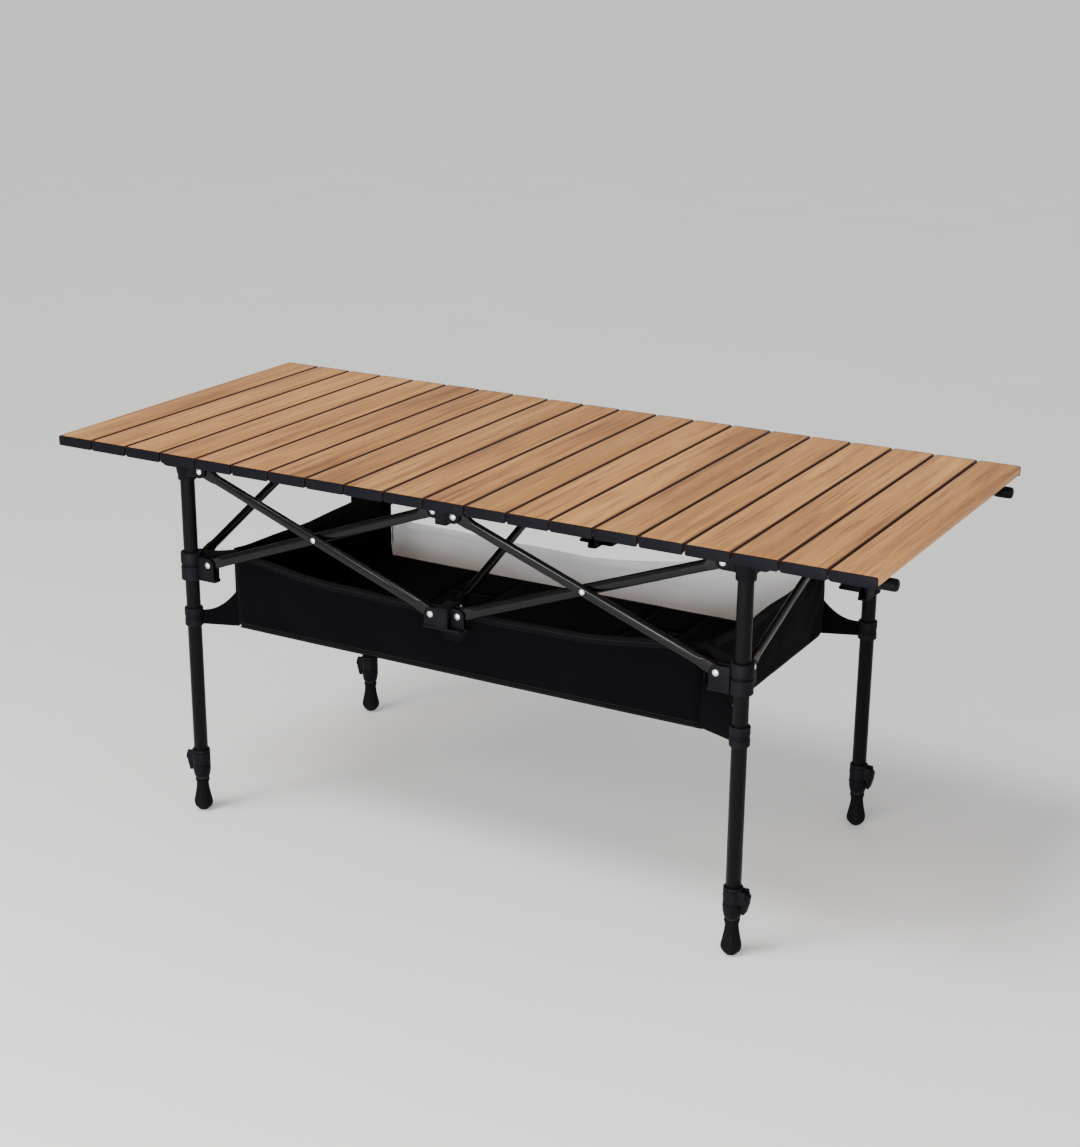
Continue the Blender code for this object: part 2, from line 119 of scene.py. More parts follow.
# ---- materials ------------------------------------------------------------------------------
class Nodes:
    """Short calls for building one material's node tree."""

    def __init__(self, name):
        self.material = bpy.data.materials.new(name)
        self.material.use_nodes = True
        self.tree = self.material.node_tree
        self.shader = self.tree.nodes["Principled BSDF"]
        self.coords = self.tree.nodes.new("ShaderNodeTexCoord").outputs["Object"]

    def put(self, socket, value):
        if isinstance(value, bpy.types.NodeSocket):
            self.tree.links.new(value, socket)
        else:
            socket.default_value = value

    def add(self, kind, **inputs):
        """A new node; an input is a value or another node's output."""
        node = self.tree.nodes.new("ShaderNode" + kind)
        for key, value in inputs.items():
            self.put(node.inputs[key.replace("_", " ")], value)
        return node

    def noise(self, scale, detail=3.0, rough=0.5, stretch=(1, 1, 1)):
        stretched = self.add("Mapping", Vector=self.coords, Scale=stretch).outputs["Vector"]
        node = self.add("TexNoise", Vector=stretched, Scale=scale, Detail=detail, Roughness=rough)
        return node.outputs["Fac"]

    def ramp(self, fac, *stops):
        node = self.add("ValToRGB", Fac=fac)
        ramp = node.color_ramp
        while len(ramp.elements) < len(stops):
            ramp.elements.new(0.5)
        for element, (place, colour) in zip(ramp.elements, stops):
            element.position = place
            element.color = (*colour, 1)
        return node.outputs["Color"]

    def span(self, fac, low, high, start=0.0, end=1.0):
        """Maps start to low and end to high."""
        node = self.add(
            "MapRange", Value=fac, From_Min=start, From_Max=end, To_Min=low, To_Max=high)
        return node.outputs["Result"]

    def math(self, operation, a, b=None):
        node = self.add("Math")
        node.operation = operation
        for socket, value in zip(node.inputs, (a, b)):
            if value is not None:
                self.put(socket, value)
        return node.outputs["Value"]

    def mix(self, fac, a, b):
        node = self.add("Mix")
        node.data_type = "RGBA"
        for index, value in ((0, fac), (6, a), (7, b)):
            self.put(node.inputs[index], (*value, 1) if isinstance(value, tuple) else value)
        return node.outputs[2]

    def axis(self, letter):
        return self.add("SeparateXYZ", Vector=self.coords).outputs[letter]

    def painted_edge_highlight(self, colour, edge, amount=0.5):
        """Painted highlight: colour with convex edges lightened towards a second colour."""
        point = self.add("NewGeometry").outputs["Pointiness"]
        highlight_mask = self.span(point, 0.0, amount, 0.52, 0.62)
        return self.mix(highlight_mask, colour, edge)

    def finish(self, colour, rough, height=None, strength=0.2, distance=0.001, **sockets):
        self.put(self.shader.inputs["Base Color"], colour)
        self.put(self.shader.inputs["Roughness"], rough)
        for key, value in sockets.items():
            self.shader.inputs[key.replace("_", " ")].default_value = value
        if height is not None:
            bump = self.add("Bump", Height=height, Strength=strength, Distance=distance)
            self.tree.links.new(bump.outputs["Normal"], self.shader.inputs["Normal"])
        return self.material


def wood_material():
    """Wood grain that runs along each slat (Y), with its own tone and figure per slat, and painted
    shade on the plank sides beside each gap.
    """
    n = Nodes("oak_grain_slat")
    across = n.math("DIVIDE", n.axis("X"), SLAT_PITCH)
    slat = n.math("FLOOR", across)
    tone = n.add("TexWhiteNoise")
    tone.noise_dimensions = "1D"
    n.put(tone.inputs["W"], slat)
    shift = n.add("VectorMath")
    shift.operation = "MULTIPLY_ADD"
    for socket, value in zip(shift.inputs, (tone.outputs["Color"], (0.4, 3.0, 0.4), n.coords)):
        n.put(socket, value)
    n.coords = shift.outputs["Vector"]
    broad = n.noise(15.0, 3.0, 0.55, (1, 0.14, 1))
    streak = n.noise(88.0, 5.0, 0.64, (1, 0.030, 1))
    fine = n.noise(420.0, 3.0, 0.6, (1, 0.02, 1))
    figure = n.math("ADD", n.math("MULTIPLY", broad, 0.42), n.math("MULTIPLY", streak, 0.58))
    colour = n.ramp(
        figure, (0.35, (0.222, 0.079, 0.018)), (0.45, (0.422, 0.177, 0.041)),
        (0.54, (0.535, 0.239, 0.060)), (0.66, (0.665, 0.332, 0.098)),
    )
    pores = n.span(fine, 0.0, 0.72, 0.52, 0.68)
    colour = n.mix(pores, colour, (0.130, 0.040, 0.009))
    # Painted shade: the plank's sides darken beside each gap, where shade falls between slats; the
    # outer sides of the two end slats keep the wood colour.
    share = n.math("FRACT", n.math("ADD", across, 0.5))
    from_gap = n.math("ABSOLUTE", n.math("SUBTRACT", share, 0.5))
    side = n.span(from_gap, 1.0, 0.0, *(reach / SLAT_PITCH for reach in GAP_SHADE_REACH))
    inside = n.math("LESS_THAN", n.math("ABSOLUTE", across), SLAT_COUNT / 2 - 0.1)
    side = n.math("MULTIPLY", side, inside)
    colour = n.mix(side, colour, (0.060, 0.018, 0.005))
    value = n.span(tone.outputs["Value"], 0.90, 1.08)
    toned = n.add("HueSaturation", Value=value, Color=colour)
    rough = n.span(streak, 0.40, 0.56)
    height = n.math("ADD", n.math("MULTIPLY", streak, 0.5), n.math("MULTIPLY", pores, -0.6))
    return n.finish(toned.outputs["Color"], rough, height, 0.16, 0.0006)


def times(colour, factor):
    return tuple(factor * value for value in colour)


def coated_metal(name, base, edge, rough=(0.26, 0.36), specular=0.045, coat=0.0):
    """Satin black coating over tube: faint orange peel, and a painted highlight on convex edges."""
    n = Nodes(name)
    cloud = n.noise(18.0)
    peel = n.noise(900.0, 2.0)
    # painted highlight: convex edges lightened towards the edge colour
    colour = n.painted_edge_highlight(n.mix(cloud, base, times(base, 1.5)), edge, 0.6)
    return n.finish(colour, n.span(cloud, *rough), peel, 0.05, 0.0003, Specular_IOR_Level=specular,
                    Coat_Weight=coat, Coat_Roughness=0.15)


def moulded_plastic(name, base, edge, grain=1400.0):
    """Black moulded plastic with a fine spark-eroded texture."""
    n = Nodes(name)
    cloud = n.noise(40.0)
    texture = n.noise(grain, 2.0)
    # painted highlight: convex edges lightened towards the edge colour
    colour = n.painted_edge_highlight(n.mix(cloud, base, times(base, 1.4)), edge, 0.7)
    return n.finish(colour, n.span(cloud, 0.44, 0.60), texture, 0.16, 0.0003,
                    Specular_IOR_Level=0.055)


def rivet_metal():
    """Bright turned steel."""
    n = Nodes("rivet_steel")
    turned = n.noise(700.0, 2.0)
    colour = n.mix(turned, (0.72, 0.73, 0.75), (0.86, 0.87, 0.88))
    return n.finish(colour, n.span(turned, 0.22, 0.36), turned, 0.05, 0.0002, Metallic=1.0)


def foot_rubber():
    """Black rubber with a little dust near the ground."""
    n = Nodes("foot_rubber")
    dust = n.noise(60.0, 4.0, 0.6)
    low = n.span(n.axis("Z"), 1.0, 0.0, 0.0, 0.02)
    dusty = n.math("MULTIPLY", low, n.span(dust, 0.0, 0.6, 0.4, 0.7))
    colour = n.mix(dusty, (0.0022, 0.0022, 0.0028), (0.012, 0.011, 0.010))
    grain = n.noise(1100.0, 2.0)
    return n.finish(colour, n.span(dust, 0.62, 0.82), grain, 0.25, 0.0004, Specular_IOR_Level=0.06)


def woven(name, base, light, pitch=0.0011, sheen=0.02, rough=0.78, specular=0.06, crease=90):
    """Plain weave. Threads follow whichever two axes the panel lies along."""
    n = Nodes(name)
    waves = []
    for letter in "XYZ":
        angle = n.math("MULTIPLY", n.axis(letter), 2 * math.pi / pitch)
        waves.append(n.math("SINE", angle))
    upright_weave = n.math("MULTIPLY", n.math("ADD", waves[0], waves[1]), waves[2])
    weave = n.math("ADD", upright_weave, n.math("MULTIPLY", waves[0], waves[1]))
    cloud = n.noise(26.0, 4.0, 0.6)
    colour = n.mix(n.span(cloud, 0.1, 0.9), base, light)
    colour = n.mix(n.span(weave, 0.0, 0.35, -1.5, 1.5), colour, times(base, 0.55))
    folds = n.noise(9.0, 3.0, 0.55, (0.7, 0.7, 3.2))
    height = n.math("ADD", weave, n.math("MULTIPLY", folds, crease))
    return n.finish(colour, n.span(cloud, rough - 0.06, rough + 0.08), height, 0.12, 0.0004,
                    Sheen_Weight=sheen, Sheen_Roughness=0.45, Specular_IOR_Level=specular)


def ribbed_webbing(name, base, pitch=0.0014):
    """Fine ribs across a tape or a cord, with a little fuzz."""
    n = Nodes(name)
    along = n.math("ADD", n.axis("X"), n.axis("Y"))
    ribs = n.math("SINE", n.math("MULTIPLY", along, 2 * math.pi / pitch))
    fuzz = n.noise(500.0)
    colour = n.mix(n.span(fuzz, 0.0, 1.0), base, times(base, 2.0))
    height = n.math("ADD", n.math("MULTIPLY", ribs, 0.5), fuzz)
    return n.finish(colour, n.span(fuzz, 0.68, 0.84), height, 0.22, 0.0004, Sheen_Weight=0.02,
                    Specular_IOR_Level=0.03)


WOOD = wood_material()
# The second colour given to each black coat and moulding is the painted highlight on its convex
# edges.
CAP = moulded_plastic("end_cap_plastic", (0.0018, 0.0018, 0.0032), (0.011, 0.011, 0.016), 1100.0)
TUBE = coated_metal("tube_black_coat", (0.0016, 0.0016, 0.0021), (0.0060, 0.0060, 0.0068))
ARM = coated_metal("arm_black_coat", (0.0011, 0.0011, 0.0015), (0.012, 0.012, 0.014),
                   rough=(0.24, 0.32), specular=0.02, coat=0.38)
INNER = coated_metal("inner_tube_coat", (0.0030, 0.0030, 0.0035), (0.024, 0.024, 0.026))
MOULDING = moulded_plastic("bracket_plastic", (0.0018, 0.0018, 0.0028), (0.0085, 0.0085, 0.0110))
RIVET = rivet_metal()
RUBBER = foot_rubber()
CLOTH = woven("bag_cloth_black", (0.0009, 0.0009, 0.0014), (0.0020, 0.0020, 0.0028),
              specular=0.02)
GREY_CLOTH = woven("bag_cloth_grey", (0.760, 0.772, 0.782), (0.860, 0.872, 0.882),
                   pitch=0.0013, sheen=0.05, rough=0.70, specular=0.2, crease=260)
WEBBING = ribbed_webbing("bag_binding", (0.0013, 0.0013, 0.0018))
THREAD = ribbed_webbing("bag_thread", (0.0120, 0.0120, 0.0135), 0.0008)
CORD = ribbed_webbing("elastic_cord", (0.0060, 0.0060, 0.0066), 0.0008)


# ---- modelling ------------------------------------------------------------------------------
def add_object(name, data):
    made = bpy.data.objects.new(name, data)
    bpy.context.scene.collection.objects.link(made)
    return made


class Shape:
    """A mesh under construction: closed shells added one after another, in the row frame."""

    def __init__(self):
        self.bm = bmesh.new()

    def _bevel(self, faces, width, steps):
        if not width:
            return
        edges = {e for f in faces for e in f.edges}
        sharp = [e for e in edges
                 if len(e.link_faces) == 2 and e.calc_face_angle(0) > math.radians(30)]
        bmesh.ops.bevel(
            self.bm, geom=sharp, offset=width, segments=steps, profile=0.6, affect="EDGES",
            clamp_overlap=True,
        )

    def box(self, low, high, bevel=0.0, steps=2, place=None):
        """A block from its low corner to its high one, in the frame of place."""
        low, high = Vector(low), Vector(high)
        matrix = Matrix.Translation((low + high) / 2) @ Matrix.Diagonal((*(high - low), 1))
        made = bmesh.ops.create_cube(self.bm, size=1, matrix=(place or Matrix()) @ matrix)
        self._bevel({f for v in made["verts"] for f in v.link_faces}, bevel, steps)
        return self

    def lathe(self, profile, start, along, sides=32):
        """Turned solid: (radius, height) points from one end to the other, round start + along."""
        along = Vector(along).normalized()
        turn = along.to_track_quat("Z", "Y").to_matrix()
        rings = []
        for radius, height in profile:
            centre = Vector(start) + along * height
            if radius < 1e-7:
                rings.append([self.bm.verts.new(centre)])
                continue
            ring = []
            for side in range(sides):
                angle = 2 * math.pi * side / sides
                offset = turn @ Vector((radius * math.cos(angle), radius * math.sin(angle), 0))
                ring.append(self.bm.verts.new(centre + offset))
            rings.append(ring)
        for lower, upper in zip(rings, rings[1:]):
            for side in range(sides):
                after = (side + 1) % sides
                if len(lower) == 1:
                    corners = (lower[0], upper[after], upper[side])
                elif len(upper) == 1:
                    corners = (lower[side], lower[after], upper[0])
                else:
                    corners = (lower[side], lower[after], upper[after], upper[side])
                self.bm.faces.new(corners)
        return self

    def rod(self, start, end, radius, round_end=0.0005, sides=24):
        """Round bar with slightly rounded ends."""
        start, end = Vector(start), Vector(end)
        length = (end - start).length
        r = round_end
        half = [(0, 0), (radius - r, 0), (radius - 0.3 * r, 0.3 * r), (radius, r)]
        profile = half + [(reach, length - height) for reach, height in reversed(half)]
        return self.lathe(profile, start, end - start, sides)

    def plate(self, outline, thickness, place, bevel=0.0):
        """A flat outline (u, v), thickened both ways from its plane, then placed."""
        half = thickness / 2
        top = [self.bm.verts.new(place @ Vector((u, v, half))) for u, v in outline]
        low = [self.bm.verts.new(place @ Vector((u, v, -half))) for u, v in outline]
        faces = [self.bm.faces.new(top), self.bm.faces.new(low[::-1])]
        for index in range(len(outline)):
            after = (index + 1) % len(outline)
            faces.append(self.bm.faces.new((top[index], low[index], low[after], top[after])))
        bmesh.ops.recalc_face_normals(self.bm, faces=faces)
        self._bevel(faces, bevel, 2)
        return self

    def skin(self, rings):
        """Closed shell through equal rings of points, capped at both ends."""
        rings = [[self.bm.verts.new(point) for point in ring] for ring in rings]
        count = len(rings[0])
        faces = []
        for one, two in zip(rings, rings[1:]):
            for k in range(count):
                after = (k + 1) % count
                faces.append(self.bm.faces.new((one[k], one[after], two[after], two[k])))
        faces.append(self.bm.faces.new(rings[0][::-1]))
        faces.append(self.bm.faces.new(rings[-1]))
        return faces

    def sweep(self, path, section, frame_of):
        """A closed section (a, b) carried along path; frame_of(i) gives its two directions."""
        rings = []
        for index, point in enumerate(path):
            a_dir, b_dir = frame_of(index)
            rings.append([point + a_dir * a + b_dir * b for a, b in section])
        bmesh.ops.recalc_face_normals(self.bm, faces=self.skin(rings))
        return self

    def grid(self, rows):
        """An open sheet from rows of points."""
        verts = [[self.bm.verts.new(p) for p in row] for row in rows]
        for one, two in zip(verts, verts[1:]):
            for k in range(len(one) - 1):
                self.bm.faces.new((one[k], one[k + 1], two[k + 1], two[k]))
        return self

    def object(self, name, material, body, slot, replaces=(), smooth_deg=38, thickness=0.0):
        """The finished piece on its body; thickness is for sheets only."""
        bmesh.ops.remove_doubles(self.bm, verts=self.bm.verts, dist=1e-7)
        if not thickness:
            bmesh.ops.recalc_face_normals(self.bm, faces=self.bm.faces)
        mesh = bpy.data.meshes.new(name)
        self.bm.to_mesh(mesh)
        self.bm.free()
        mesh.polygons.foreach_set("use_smooth", [True] * len(mesh.polygons))
        mesh.set_sharp_from_angle(angle=math.radians(smooth_deg))
        mesh.materials.append(material)
        made = add_object(name, mesh)
        if thickness:
            solid = made.modifiers.new("cloth_thickness", "SOLIDIFY")
            solid.thickness = thickness
            solid.offset = 0
        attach(made, body)
        if replaces:
            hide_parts(*replaces)
        return made


def polar(degrees):
    """Cosine and sine."""
    turn = math.radians(degrees)
    return math.cos(turn), math.sin(turn)


def arc(centre, radius, start_deg, end_deg, steps):
    points = []
    for step in range(steps + 1):
        c, s = polar(start_deg + (end_deg - start_deg) * step / steps)
        points.append((centre[0] + radius * c, centre[1] + radius * s))
    return points


def rounded_rectangle(low, high, radius, steps=4):
    (x0, y0), (x1, y1) = low, high
    r = radius
    return (arc((x1 - r, y0 + r), r, -90, 0, steps) + arc((x1 - r, y1 - r), r, 0, 90, steps)
            + arc((x0 + r, y1 - r), r, 90, 180, steps) + arc((x0 + r, y0 + r), r, 180, 270, steps))


def flat_oval(half_wide, half_thick):
    """Crowned tube section, with as many points as a rounded rectangle of five steps a corner."""
    angles = [corner - 40 + 16 * step for corner in (-45, 45, 135, 225) for step in range(6)]
    return [(half_wide * c, half_thick * s) for c, s in map(polar, angles)]


def set_at(origin, u_way, v_way):
    """Where a plate goes: its origin, and the directions that its u and v run in."""
    turn = Matrix((u_way, v_way, u_way.cross(v_way))).transposed().to_4x4()
    return Matrix.Translation(origin) @ turn


def upright(origin, along):
    """Stands a plate up: u runs along a level direction, v runs up."""
    return set_at(origin, along, UP)


# ---- rivets and forks -----------------------------------------------------------------------
def reach_of(post, along):
    if post in CORNERS:
        return CORNER_REACH
    return HUB_REACH_X if abs(along.x) > 0.5 else HUB_REACH_Y


def pair_forks(pair):
    """The four forks of a crossed pair: {(post, upper): (axis point, direction, reach, pivot)}."""
    left, right, outward = PAIRS[pair]
    start, end, outward = post_xy(left), post_xy(right), Vector(outward)
    along = (end - start).normalized()
    found = {}
    for post, point, way, top_side in ((left, start, along, 1), (right, end, -along, -1)):
        for upper in (True, False):
            side = top_side if upper else -top_side
            base = point + outward * ARM_OFFSET * side + UP * (UPPER_Z if upper else LOWER_Z)
            reach = reach_of(post, way)
            found[post, upper] = (base, way, reach, base + way * reach)
    return found


FORKS = {pair: pair_forks(pair) for pair in PAIRS}


def forks_on(post, upper):
    return [forks[post, upper] for forks in FORKS.values() if (post, upper) in forks]


def add_fork(shape, fork, upper, root, low=SLIDER_Z[0] - LOWER_Z):
    """Two cheeks with round noses, the block that joins them, and a bridge or a finger lip."""
    base, along, reach, _ = fork
    nose = arc((reach, 0), EAR_R, -90, 0, 8)
    if upper:
        cheek = [(root, -EAR_R)] + nose + [(reach + EAR_R, 0.0125), (root, 0.0125)]
    else:
        nose = [(u, -v) for u, v in reversed(nose)]
        cheek = [(root, low), (reach + 0.010, low), (reach + EAR_R, low + 0.003)]
        cheek += nose + [(root, EAR_R)]
    across = along.cross(UP)
    offset = FORK_GAP / 2 + FORK_WALL / 2
    for side in (-1, 1):
        shape.plate(cheek, FORK_WALL, upright(base + across * offset * side, along), 0.0006)
    inner = reach - ARM_HEIGHT / 2 - 0.0008
    bridge = ARM_HEIGHT / 2 + 0.001
    half = FORK_GAP / 2 + FORK_WALL * 0.6
    place = upright(base, along)
    shape.box((root, -EAR_R + 0.0006, -half), (inner, EAR_R - 0.0006, half), 0, 0, place)
    if upper:
        shape.box((root, bridge, -half), (reach + EAR_R - 0.0008, 0.0122, half), 0.0004, 1, place)
    else:
        lip = rounded_rectangle((root, -half - 0.0016), (reach + 0.0125, half + 0.0016), 0.004)
        shape.plate(lip, 0.0032, set_at(base + UP * (low + 0.0016), along, across), 0.0007)
        shape.box((root, low + 0.0016, -half), (inner, -EAR_R + 0.002, half), 0, 0, place)


# ---- the roll-up top ------------------------------------------------------------------------
def slat_body(number):
    return "top_frame" if number == 10 else f"slat_{number:02d}"


def make_slat(number):
    """One wood-grained plank, with a shallow channel underneath, and its two moulded end caps."""
    middle = (number - (SLAT_COUNT + 1) / 2) * SLAT_PITCH
    half = (SLAT_PITCH - SLAT_GAP) / 2
    end = TOP_Y - CAP_FACE
    low = TOP_Z - SLAT_THICK
    node, body = f"slat_{number:02d}", slat_body(number)
    right = [(half - 0.0014, 0), (half - 0.0004, -0.0003), (half, -0.0012),
             (half, -SLAT_THICK + 0.0012), (half - 0.0012, -SLAT_THICK), (0.0135, -SLAT_THICK),
             (0.0120, -SLAT_THICK + 0.0015)]
    section = right + [(-u, v) for u, v in reversed(right)]
    path = [Vector((middle, -end + 2 * end * step / 8, TOP_Z)) for step in range(9)]
    plank = Shape().sweep(path, section, lambda _: (ALONG, UP))
    plank.object(f"plank_{number:02d}", WOOD, body, "wood_grain", (node,))
    caps = Shape()
    for side in (-1, 1):
        face = rounded_rectangle((-half, -SLAT_THICK - 0.002), (half, -0.0002), 0.0022, 3)
        place = upright(Vector((middle, side * (TOP_Y - CAP_FACE / 2), TOP_Z)), ALONG)
        caps.plate(face, CAP_FACE, place, 0.0007)
        y0, y1 = sorted((side * (end - CAP_TONGUE), side * end))
        caps.box((middle - half + 0.003, y0, low - 0.0018),
                 (middle + half - 0.003, y1, low + 0.0004), 0.0006)
        for rib in (-0.012, 0.012):
            caps.box((middle + rib - 0.0008, y0 + 0.002, low - 0.0020),
                     (middle + rib + 0.0008, y1 - 0.002, low - 0.0016), 0.0001, 1)
    caps.object(f"end_caps_{number:02d}", CAP, body, "black_moulding")


def make_cords():
    """Short runs of the two elastic cords, where they cross each gap between slats."""
    for number in range(1, SLAT_COUNT):
        x = (number - SLAT_COUNT / 2) * SLAT_PITCH
        cords = Shape()
        for y in (-CORD_Y, CORD_Y):
            z = TOP_Z - SLAT_THICK * 0.36
            cords.rod((x - SLAT_GAP, y, z), (x + SLAT_GAP, y, z), CORD_R, 0.0003, 12)
        body = slat_body(number if number < 10 else number + 1)
        cords.object(f"elastic_{number:02d}", CORD, body, "black_cloth")


# ---- legs -----------------------------------------------------------------------------------
def make_leg(corner):
    """Leg tube, the moulded head on it, and the clamp housing with its lever pin below."""
    foot, outward = post_xy(corner), outward_of(corner)
    body = node = f"leg_{corner}"

    profile = [(0.0088, 0.0925), (TUBE_R - 0.0003, 0.0925), (TUBE_R, 0.0930), (TUBE_R, 0.5000),
               (0, 0.5000)]
    tube = Shape().lathe(profile, foot, UP, 40)
    tube.object(f"leg_tube_{corner}", TUBE, body, "black_tube", (node,))

    collar = [(0.0101, 0.4965), (0.0124, 0.4965), (0.0128, 0.4972), (0.0128, 0.5032),
              (0.0136, 0.5060), (0.0160, 0.5190), (0.0163, 0.5205), (0.0163, HEAD_TOP - 0.0010),
              (0.0155, HEAD_TOP), (0, HEAD_TOP)]
    head = Shape().lathe(collar, foot, UP, 40)
    for fork in forks_on(corner, True):
        add_fork(head, fork, True, 0.006)
    gap = 2 * SUPPORT_R + 0.0006
    base = foot + UP * SUPPORT_Z
    ear = 0.0088
    nose = arc((SUPPORT_REACH, 0), ear, -90, 0, 8)
    cheek = [(0.006, -ear)] + nose + [(SUPPORT_REACH + ear, 0.0086), (0.006, 0.0086)]
    for way in (-1, 1):
        centre = base + Vector((0, way * (gap + FORK_WALL) / 2, 0))
        head.plate(cheek, FORK_WALL, upright(centre, outward), 0.0006)
    head.box((0.006, -0.0080, -gap / 2 - 0.001),
             (SUPPORT_REACH - 0.0094, 0.0080, gap / 2 + 0.001), 0, 0, upright(base, outward))
    head.object(f"leg_head_{corner}", MOULDING, body, "black_moulding")

    housing = [(0.0089, 0.0520), (0.0102, 0.0520), (0.0108, 0.0526), (0.0122, 0.0600),
               (0.0127, 0.0625), (0.0127, 0.0700), (0.0121, 0.0704), (0.0121, 0.0716),
               (0.0127, 0.0720), (0.0127, 0.0888), (0.0121, 0.0892), (0.0121, 0.0904),
               (0.0127, 0.0908), (0.0127, 0.0932), (0.0121, 0.0940), (0.0101, 0.0940),
               (0.0089, 0.0940), (0.0089, 0.0520)]
    clamp = Shape().lathe(housing, foot, UP, 40)
    lug = [(0.0100, -0.009), (0.0165, -0.009)] + arc((0.0165, -0.002), 0.0050, -50, 50, 6)
    lug += [(0.0185, 0.0093), (0.0100, 0.0093)]
    wide = LEVER_THICK / 2 + PLAY + LUG_THICK / 2
    for way in (-1, 1):
        centre = foot + UP * LEVER_Z + Vector((0, way * wide, 0))
        clamp.plate(lug, LUG_THICK, upright(centre, outward), 0.0005)
    for height in (0.066, 0.080):
        back = foot + UP * height - outward * 0.0120
        clamp.rod(back, back - outward * 0.0016, 0.0022, 0.0004, 16)
    clamp.object(f"leg_clamp_{corner}", MOULDING, body, "black_moulding")

    pin = Shape()
    centre = foot + UP * LEVER_Z + outward * LEVER_REACH
    half = Vector((0, LEVER_THICK / 2 + 0.0026, 0))
    pin.rod(centre - half, centre + half, 0.0014, 0.0003, 16)
    pin.object(f"lever_pin_{corner}", TUBE, body, "black_tube")


def make_inner_leg(corner):
    """Telescoping tube with three height buttons, and its faceted rubber foot."""
    foot = post_xy(corner)
    body = node = f"inner_leg_{corner}"
    profile = [(0.0070, 0.0440), (INNER_R, 0.0440), (INNER_R, 0.2495), (0.0072, 0.2500),
               (0.0070, 0.0440)]
    tube = Shape().lathe(profile, foot, UP, 32)
    for height in (0.105, 0.140, 0.175):
        tube.rod(foot + UP * height - Vector((0, INNER_R - 0.0010, 0)),
                 foot + UP * height - Vector((0, INNER_R + 0.0001, 0)), 0.0022, 0.0001, 16)
    tube.object(f"inner_tube_{corner}", INNER, body, "black_foot", (node,))
    profile = [(0, 0), (0.0066, 0), (0.0072, 0.0004), (0.0124, 0.0062), (0.0133, 0.0088),
               (0.0136, 0.0118), (0.0131, 0.0152), (0.0112, 0.0240), (0.0097, 0.0320),
               (0.0089, 0.0392), (0.0090, 0.0420), (0.0101, 0.0455), (0.0103, 0.0480),
               (0.0098, 0.0488), (0.0085, 0.0488), (0, 0.0488)]
    shoe = Shape().lathe(profile, foot, UP, 12)
    shoe.object(f"foot_{corner}", RUBBER, body, "black_foot", smooth_deg=24)


def make_lever(corner):
    """Cam lever: a round cam on the pin, a curved blade, and five grip ribs."""
    outward = outward_of(corner)
    body = node = f"foot_lever_{corner}"
    place = upright(post_xy(corner) + UP * LEVER_Z + outward * LEVER_REACH, outward)
    outline = arc((0, 0), 0.0060, 215, -25, 16)
    outline += [(0.0053, -0.0045), (0.0043, -0.0105), (0.0022, -0.0180), (0.0008, -0.0225),
                (-0.0026, -0.0225), (-0.0033, -0.0205)]
    lever = Shape()
    lever.plate(outline, LEVER_THICK, place, 0.0009)
    rib = LEVER_THICK * 0.40
    for step in range(5):
        height = -0.0075 - 0.0026 * step
        out = 0.0049 - 0.00085 * step
        lever.box((out - 0.0009, height - 0.0006, -rib), (out + 0.0004, height + 0.0006, rib),
                  0.0003, 1, place)
    lever.object(f"lever_{corner}", MOULDING, body, "black_moulding", (node,))


def make_slider(corner):
    """Sliding bracket: a waisted sleeve with a fork for each lower arm end."""
    body = node = f"slider_{corner}"
    low, high = SLIDER_Z
    profile = [(0.0103, low), (0.0140, low), (0.0147, low + 0.0008), (0.0147, low + 0.0190),
               (0.0141, low + 0.0196), (0.0132, low + 0.0200), (0.0132, low + 0.0226),
               (0.0141, low + 0.0230), (0.0147, low + 0.0236), (0.0147, high - 0.0012),
               (0.0138, high), (0.0108, high), (0.0103, high - 0.0006), (0.0103, low)]
    shape = Shape().lathe(profile, post_xy(corner), UP, 40)
    for fork in forks_on(corner, False):
        add_fork(shape, fork, False, 0.0116)
    shape.object(f"slider_block_{corner}", MOULDING, body, "black_moulding", (node,))


def make_end_support(corner):
    """Flip-out tube with a moulded plug at its tip and a pin in the head's ears."""
    outward = outward_of(corner)
    body = node = f"end_support_{corner}"
    start = post_xy(corner) + UP * SUPPORT_Z + outward * SUPPORT_REACH
    end = SUPPORT_TIP - (LEG_X + SUPPORT_REACH)
    profile = [(0, -0.0050), (SUPPORT_R - 0.0016, -0.0050), (SUPPORT_R - 0.0005, -0.0045),
               (SUPPORT_R, -0.0034), (SUPPORT_R, end - 0.021), (0, end - 0.021)]
    tube = Shape().lathe(profile, start, outward, 32)
    tube.object(f"support_tube_{corner}", TUBE, body, "black_tube", (node,))
    profile = [(0.0060, end - 0.0225), (0.0072, end - 0.0225), (0.0078, end - 0.0216),
               (0.0078, end - 0.0040), (0.0074, end - 0.0018), (0.0062, end - 0.0004),
               (0.0052, end), (0, end)]
    plug = Shape().lathe(profile, start, outward, 32)
    plug.object(f"support_plug_{corner}", MOULDING, body, "black_moulding")
    pin = Shape()
    half = Vector((0, SUPPORT_R + PLAY + FORK_WALL, 0))
    add_rivet(pin, start - half, start + half)
    pin.object(f"support_pin_{corner}", RIVET, body, "black_tube")


